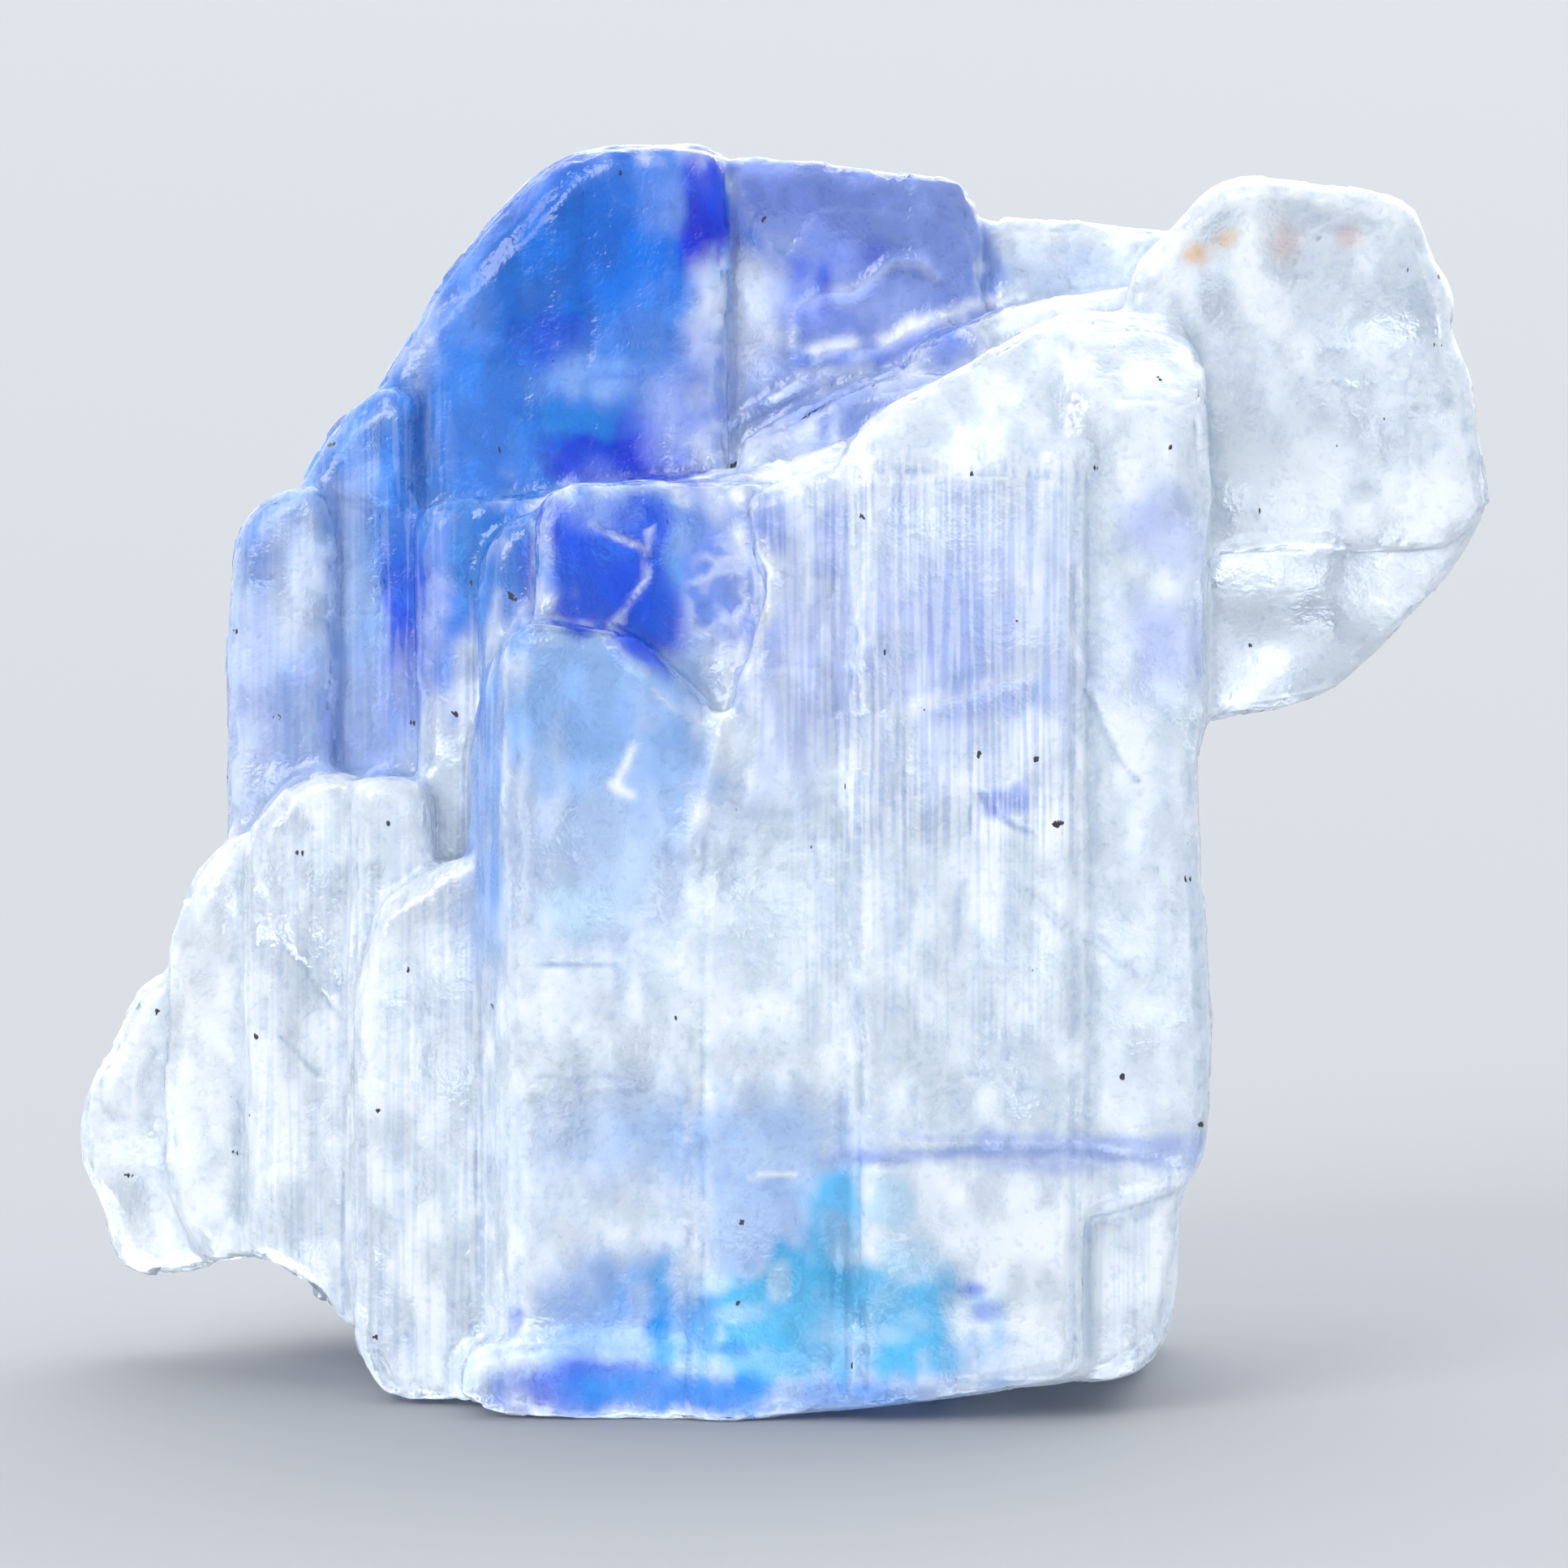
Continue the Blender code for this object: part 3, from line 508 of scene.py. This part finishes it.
def modified(piece, kind, **settings):
    """Applies one modifier to a piece's mesh."""
    change = piece.modifiers.new(kind.lower(), kind)
    for name, value in settings.items():
        setattr(change, name, value)
    graph = bpy.context.evaluated_depsgraph_get()
    mesh = bpy.data.meshes.new_from_object(piece.evaluated_get(graph))
    piece.modifiers.clear()
    piece.data = mesh
    return mesh


def line_distance(seen, path):
    """How far each seen place is from a line through the given points, in millimetres."""
    nearest = np.full(len(seen), np.inf)
    for start, end in zip(path, path[1:]):
        start, run = np.array(start), np.array(end) - np.array(start)
        share = np.clip((seen - start) @ run / (run @ run), 0, 1)
        nearest = np.minimum(nearest, np.linalg.norm(seen - start - share[:, None] * run, axis=1))
    return nearest


def line_share(seen, path, width):
    """1 on a line, falling away softly beyond its half width."""
    return np.exp(-(line_distance(seen, path) / width) ** 2)


def fine_jitter(points):
    """A small shake that keeps the lines from being smooth, the same right and up."""
    return JITTER * (lattice_noise(points / JITTER_SIZE, 14)[:, None] - 0.5)


def facing_front(normals):
    return smooth_step(*FRONT, -normals[:, 1])


def foam(seen):
    """The frothy patch right of the broken corner."""
    middle, half = FOAM
    away = (seen[:, :2] - middle) / np.array(half)
    return smooth_step(*FOAM_EDGE, np.linalg.norm(away, axis=1))


def combing(seen):
    share = np.zeros(len(seen))
    for middle, half, strength in COMBED:
        away = np.max(np.abs((seen[:, :2] - middle) / np.array(half)), axis=1)
        share = np.maximum(share, strength * smooth_step(*COMBED_EDGE, away))
    return share


def relief(points, normals, bend):
    """How far each point of the surface stands out, in millimetres."""
    seen = appears_at(points)
    facing = facing_front(normals)
    warp = np.stack([lattice_noise(points / WARP_SIZE, seed) for seed in WARP_SEEDS], axis=1)
    wander = points + STEP_WANDER * (warp - 0.5)

    height = np.zeros(len(points))
    for size, rise, seed in SWELLS:
        height += rise * (layered_noise(points / size, seed) - 0.5)

    broken = smooth_step(*BROKEN, layered_noise(points / BROKEN_SIZE, 31, 2))
    steps = np.zeros(len(points))
    for size, rise, seed in CLEAVAGE_STEPS:
        steps += rise * (block_noise(wander / np.array(size) + 0.5, seed) - 0.5)
    height += steps * (STEPS_KEPT + (1 - STEPS_KEPT) * broken) * (1 - STEPS_WORN_IN_FRONT * facing)

    height -= smooth_step(*EDGE, bend) * EDGE_LOSS * layered_noise(points / CHIP_SIZE, 51)

    columns = points * np.array(COLUMN_SCALE)
    height += facing * COLUMN_HEIGHT * (lattice_noise(columns, 62) - 0.5)
    comb = points * np.array(COMB_SCALE)
    height += combing(seen) * facing * COMB_HEIGHT * (layered_noise(comb, 61, 2) - 0.5)
    height += foam(seen) * facing * FROTH_HEIGHT * (web_noise(points / FROTH_SIZE, 73) - FROTH_LEVEL)

    ragged = seen[:, :2] + RAGGED * (warp[:, [0, 2]] - 0.5) + fine_jitter(points)
    for path, width, rise, *_ in MARKS:
        height += facing * rise * line_share(ragged, path, width)
    return height


def stain(colour, tint, share):
    """Mixes a tint into the colours, with its own share at each point."""
    colour += share[:, None] * (np.array(tint) - colour)


def clearness(cover):
    """1 where the salt holds no pigment, and 0 where it holds much."""
    return 1 - smooth_step(0.0, CLEAR_COVER, cover)


def painted(points, normals, worn, hollow):
    """The tint of the salt at each point with how much pigment it holds, and how cloudy the salt is."""
    seen = appears_at(points)
    facing = facing_front(normals)
    drift = np.stack([layered_noise(points / DRIFT_SIZE, seed, 4) for seed in DRIFT_SEEDS], axis=1) - 0.5
    fibres = layered_noise(points * np.array(FIBRE_SCALE), 85, 3) - 0.5
    frayed = layered_noise(points / FRAY_SIZE, 88, 2) - 0.5
    cloudy = 1 - CLOUD_LOSS * smooth_step(*PATCHY, layered_noise(points / PATCH_SIZE, 91, 3))

    colour = np.tile(np.array(ICE), (len(points), 1))
    colour[:, 3] = 0
    for tint, middle, half, square, soft, strength in ZONES:
        wandering = min(MOST_DRIFT, DRIFT_SHARE * min(half[:2])) * drift
        local = np.abs((seen + wandering - middle) / np.array(half))
        away = np.sum(local ** square, axis=1) ** (1 / square) + FIBRE_SHARE * fibres + FRAY_SHARE * frayed
        stain(colour, tint, strength * cloudy * smooth_step(1 + soft, 1 - soft, away))

    froth = smooth_step(*FROTH_RANGE, web_noise(points / FROTH_SIZE, 73))
    stain(colour, PALE, FROTH_TINT_SHARE * (foam(seen) * facing * froth))

    broken = smooth_step(*GAPS, lattice_noise(points / GAP_SIZE, 15))
    ragged = seen[:, :2] + RAGGED_TINT * drift[:, [0, 2]] + fine_jitter(points)
    for path, width, _, tint, strength in MARKS:
        stain(colour, tint, facing * strength * broken * line_share(ragged, path, MARK_TINT_WIDTH * width))

    # Milky veils and upright growth lines where the salt is clear, bruised edges whitened also as painted
    # highlights, and painted shade in the hollows
    cover = colour[:, 3].copy()
    clear = clearness(cover)
    cloud = layered_noise(points * np.array(CLOUD_SCALE), 95, 4)
    for middle, half, amount in MILKY:
        away = np.linalg.norm((seen - middle) / np.array(half), axis=1)
        cloud += amount * smooth_step(*MILKY_EDGE, away)
    lines = layered_noise(points * np.array(LINE_SCALE), 99, 2)
    milk = np.maximum.reduce([
        VEIL_SHARE * clear * smooth_step(*VEILED, cloud),
        LINE_SHARE * clear * smooth_step(*LINED, lines),
        # bruised edges, whitened also as painted highlights along the convex edges
        BRUISE_AND_HIGHLIGHT_SHARE * (1 - cover) * worn,
    ])
    stain(colour, MILK, milk)
    # The SHADE tint darkens where the salt is clearer, and is painted shade in the hollows
    shade = DULL_SHARE * smooth_step(*DULL, cloud) + HOLLOW_SHADE_SHARE * hollow
    colour *= 1 + shade[:, None] * (np.array(SHADE) - 1)
    colour[:, 3] = cover
    return colour, cloud


def keep(mesh, name, *channels):
    """Stores up to four values a vertex in the mesh, and 1 for each one that isn't given."""
    values = np.ones((len(channels[0]), 4), np.float32)
    values[:, :len(channels)] = np.stack(channels, axis=1)
    mesh.attributes.new(name, "FLOAT_COLOR", "POINT").data.foreach_set("color", values.ravel())


def taken(mesh, name):
    """The values that keep() stored, which then leave the mesh."""
    values = np.empty(len(mesh.vertices) * 4, np.float32)
    mesh.attributes[name].data.foreach_get("color", values)
    mesh.attributes.remove(mesh.attributes[name])
    return values.reshape(-1, 4).T


def scaled_mesh(mesh, scale):
    mesh.transform(Matrix.Diagonal((scale, scale, scale, 1.0)))


def thinned(piece, mesh, hidden):
    """The mesh with at most the wanted number of triangles. What is hidden gives up the most."""
    triangles = sum(len(face.vertices) - 2 for face in mesh.polygons)
    group = piece.vertex_groups.new(name="spare")
    level = np.round(hidden * (SPARE_LEVELS - 1)).astype(int)
    for step in range(SPARE_LEVELS):
        group.add(np.flatnonzero(level == step).tolist(), (step + 1) / SPARE_LEVELS, "REPLACE")
    ratio = MOST_TRIANGLES / triangles
    mesh = modified(piece, "DECIMATE", ratio=ratio, vertex_group="spare", vertex_group_factor=FRONT_CARE)
    piece.vertex_groups.clear()
    return mesh


def salt_crystals():
    """The cluster's fine surface, grown from the solid of the frame."""
    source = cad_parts[CAD_NODE]
    piece = bpy.data.objects.new("salt_crystals", source.data.copy())
    bpy.context.scene.collection.objects.link(piece)
    scaled_mesh(piece.data, 1 / MM)
    break_fin(modified(piece, "WELD", merge_threshold=WELD))
    mesh = modified(piece, "REMESH", mode="VOXEL", voxel_size=VOXEL, adaptivity=0.0)
    points, normals, edges = arrays_of(mesh)
    for _ in range(SMOOTHING_ROUNDS):
        points = 0.5 * (points + neighbour_mean(points, edges))
    points = without_slivers(points, normals, edges)
    bend = bend_of(points, normals, edges, EDGE_ROUNDS)
    placed(mesh, points + normals * (relief(points, normals, bend) - SKIN)[:, None])

    points, normals, edges = arrays_of(mesh)
    bend = bend_of(points, normals, edges, EDGE_AND_HOLLOW_ROUNDS)
    # Convex edges are whitened as bruises and painted highlights, and hollows are darkened as painted shade
    keep(mesh, "wear", smooth_step(*BRUISE_AND_HIGHLIGHT_EDGE, bend), smooth_step(*HOLLOW, bend))
    mesh = thinned(piece, mesh, smooth_step(*HIDDEN, -normals[:, 1]))

    points, normals, edges = arrays_of(mesh)
    low, high = (np.array(corner) / MM for corner in cad_box)
    points = np.clip(points, low, high)
    placed(mesh, points)
    # worn holds the bruised edges with their painted highlights, and hollow holds the painted shade
    worn, hollow = taken(mesh, "wear")[:2]
    colour, cloud = painted(points, normals, worn, hollow)
    facing = facing_front(normals)
    combed = np.maximum(combing(appears_at(points)) * facing, BACK_COMBING * (1 - facing))
    clear = clearness(colour[:, 3])
    keep(mesh, "pigment", *colour.T)
    keep(mesh, "grown", cloud, combed * (PIGMENT_COMBING + (1 - PIGMENT_COMBING) * clear), clear)
    scaled_mesh(mesh, MM)
    mesh.materials.clear()
    mesh.shade_smooth()
    return piece


# Material

class Tree:
    """Shader nodes of one material or world, made and linked in one call each."""

    def __init__(self, owner):
        owner.use_nodes = True
        self.nodes = owner.node_tree.nodes
        self.links = owner.node_tree.links
        self.nodes.clear()

    def node(self, kind, inputs=(), **settings):
        """A node with its settings, and with a value or a link for each named or numbered input."""
        made = self.nodes.new("ShaderNode" + kind)
        for name, value in settings.items():
            setattr(made, name, value)
        for key, value in dict(inputs).items():
            if isinstance(value, bpy.types.NodeSocket):
                self.links.new(value, made.inputs[key])
            else:
                made.inputs[key].default_value = value
        return made

    def math(self, operation, *values):
        return self.node("Math", enumerate(values), operation=operation).outputs[0]

    def scaled(self, place, scale):
        return self.node("VectorMath", {0: place, 1: scale}, operation="MULTIPLY").outputs[0]

    def noise(self, place, scale, detail=2.0, roughness=0.5):
        inputs = {"Vector": place, "Scale": scale, "Detail": detail, "Roughness": roughness}
        return self.node("TexNoise", inputs).outputs["Fac"]

    def ramp(self, value, low, high, to_low=0.0, to_high=1.0):
        inputs = {"Value": value, "From Min": low, "From Max": high, "To Min": to_low, "To Max": to_high}
        return self.node("MapRange", inputs, interpolation_type="SMOOTHSTEP").outputs[0]

    def mix(self, share, first, second, blend="MIX"):
        inputs = {"Factor": share, 6: first, 7: second}
        return self.node("Mix", inputs, data_type="RGBA", blend_type=blend).outputs[2]


# The salt as a material. Lengths are in millimetres, and a scale is bumps to a millimetre.
SALT_IOR = 1.544
SALT_SHEEN = 0.14
ABSORPTION_TINT = (0.84, 0.92, 1.0, 1.0)
ABSORPTION_DENSITY = 25.0
CLOUD_RANGE = (0.36, 0.80)
TRANSMISSION = (0.66, 0.36)
HAZE_RANGE = (0.35, 0.65)
ROUGHNESS = (0.16, 0.32)
FINE_COMB_SCALE = (7.0, 4.0, 0.22)
GRAIN_SCALE = 3.0
GRAIN_BUMP = 0.08
SPECK_SPACING_SCALE = 0.5
SPECK_RADIUS = (0.06, 0.045)
SPECK_TEAR = (0.7, 0.5, 0.7)

# The levels of a noise between which it shows, and its share at each
RIDGES = (0.50, 0.62, 0.0, 0.8)
GROOVES = (0.48, 0.36, 0.0, 0.4)
FLAWS = (0.52, 0.66, 0.0, 0.4)
DULL_GRAINS = (0.46, 0.30, 0.0, 0.3)


def salt():
    """Clear to milky rock salt with soft zones of colour, worn edges with painted highlights, painted shade
    in the hollows, growth lines and specks of dust.
    """
    material = bpy.data.materials.new("rock_salt")
    tree = Tree(material)
    place = tree.scaled(tree.node("TexCoord").outputs["Object"], (1 / MM,) * 3)
    grown = tree.node("SeparateColor", {0: tree.node("Attribute", attribute_name="grown").outputs["Color"]})
    cloud, combed, clear = grown.outputs
    colour = tree.node("Attribute", attribute_name="pigment").outputs["Color"]

    # Fine growth lines, and a grain of tiny flaws
    comb = tree.noise(tree.scaled(place, FINE_COMB_SCALE), 1.0, 0.0)
    grain = tree.noise(place, GRAIN_SCALE, 2.0, 0.65)
    ridges = tree.math("MULTIPLY", tree.ramp(comb, *RIDGES), combed)
    grooves = tree.math("MULTIPLY", tree.ramp(comb, *GROOVES), combed)
    flaws = tree.math("MULTIPLY", tree.ramp(grain, *FLAWS), clear)
    colour = tree.mix(ridges, colour, MILK)
    colour = tree.mix(grooves, colour, DUSK, "MULTIPLY")
    colour = tree.mix(flaws, colour, MILK)
    colour = tree.mix(tree.ramp(grain, *DULL_GRAINS), colour, SHADE, "MULTIPLY")

    # Specks of dust, torn out of round by the grain
    torn = tree.scaled(tree.node("CombineXYZ", {0: grain, 1: comb, 2: cloud}).outputs[0], SPECK_TEAR)
    astray = tree.node("VectorMath", {0: place, 1: torn}, operation="ADD").outputs[0]
    dust = tree.node("TexVoronoi", {"Vector": astray, "Scale": SPECK_SPACING_SCALE, "Randomness": 1.0})
    colour = tree.mix(tree.ramp(dust.outputs["Distance"], *SPECK_RADIUS), colour, SPECK)

    bump = tree.node("Bump", {"Strength": 0.5, "Distance": GRAIN_BUMP * MM, "Height": grain}).outputs[0]
    shader = tree.node("BsdfPrincipled", {
        "Base Color": colour,
        "Roughness": tree.ramp(cloud, *HAZE_RANGE, *ROUGHNESS),
        "IOR": SALT_IOR,
        "Transmission Weight": tree.ramp(cloud, *CLOUD_RANGE, *TRANSMISSION),
        "Specular IOR Level": SALT_SHEEN,
        "Normal": bump,
    }, distribution="GGX")
    inside = tree.node("VolumeAbsorption", {"Color": ABSORPTION_TINT, "Density": ABSORPTION_DENSITY})
    tree.node("OutputMaterial", {"Surface": shader.outputs[0], "Volume": inside.outputs[0]})
    return material


def plain(name, tint, roughness):
    material = bpy.data.materials.new(name)
    tree = Tree(material)
    shader = tree.node("BsdfPrincipled", {"Base Color": tint, "Roughness": roughness})
    tree.node("OutputMaterial", {"Surface": shader.outputs[0]})
    return material


# Studio

FLOOR_HALF_WIDTH = 4.0
FLOOR_TINT = linear(140, 143, 148)
WORLD_TINT = (0.96, 0.98, 1.0, 1.0)
WORLD_FRONT = 0.8
WORLD_BACK = 1.9
WORLD_LIGHT_SIDE = (0.0, 0.9, 0.44)


def studio_floor():
    mesh = bpy.data.meshes.new("studio_floor")
    half = FLOOR_HALF_WIDTH
    corners = [(-half, -half, 0), (half, -half, 0), (half, half, 0), (-half, half, 0)]
    mesh.from_pydata(corners, [], [(0, 1, 2, 3)])
    floor = bpy.data.objects.new("studio_floor", mesh)
    bpy.context.scene.collection.objects.link(floor)
    mesh.materials.append(plain("studio_paper", FLOOR_TINT, 0.9))
    return floor


def aim(thing, target):
    thing.rotation_mode = "QUATERNION"
    thing.rotation_quaternion = (target - thing.location).to_track_quat("-Z", "Y")


def soft_sun(name, place, strength, spread):
    """Even light from one side of the studio, as soft as its spread in degrees."""
    lamp = bpy.data.lights.new(name, "SUN")
    lamp.energy = strength
    lamp.angle = math.radians(spread)
    light = bpy.data.objects.new(name, lamp)
    light.location = place
    bpy.context.scene.collection.objects.link(light)
    aim(light, Vector((0, 0, 0)))


def camera():
    lens = bpy.data.cameras.new("camera")
    view = bpy.data.objects.new("camera", lens)
    bpy.context.scene.collection.objects.link(view)
    target = (Vector((0, SIGHT_PLANE, sight_height())) + CENTRING) * MM
    ahead = Vector((0, math.cos(SIGHT_ELEVATION), -math.sin(SIGHT_ELEVATION)))
    view.location = target - ahead * SIGHT_DISTANCE * MM
    aim(view, target)
    lens.sensor_width = 36.0
    lens.lens = lens.sensor_width * SIGHT_DISTANCE / SIGHT_WIDTH
    lens.clip_start = 0.01
    bpy.context.scene.camera = view


camera()

crystals = salt_crystals()
crystals.data.materials.append(salt())
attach(crystals, "root")
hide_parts(CAD_NODE)

studio_floor()
soft_sun("key", Vector((-0.55, -0.8, 0.5)), 2.3, 35)
soft_sun("back", Vector((0.3, 0.8, 0.7)), 1.8, 60)

world = bpy.data.worlds.new("studio_air")
air = Tree(world)
ahead = air.node("TexCoord").outputs["Generated"]
side = air.node("VectorMath", {0: ahead, 1: WORLD_LIGHT_SIDE}, operation="DOT_PRODUCT")
strength = air.ramp(side.outputs["Value"], -1.0, 1.0, WORLD_FRONT, WORLD_BACK)
background = air.node("Background", {"Color": WORLD_TINT, "Strength": strength})
air.node("OutputWorld", {"Surface": background.outputs[0]})
bpy.context.scene.world = world
bpy.context.scene.view_settings.view_transform = "Standard"
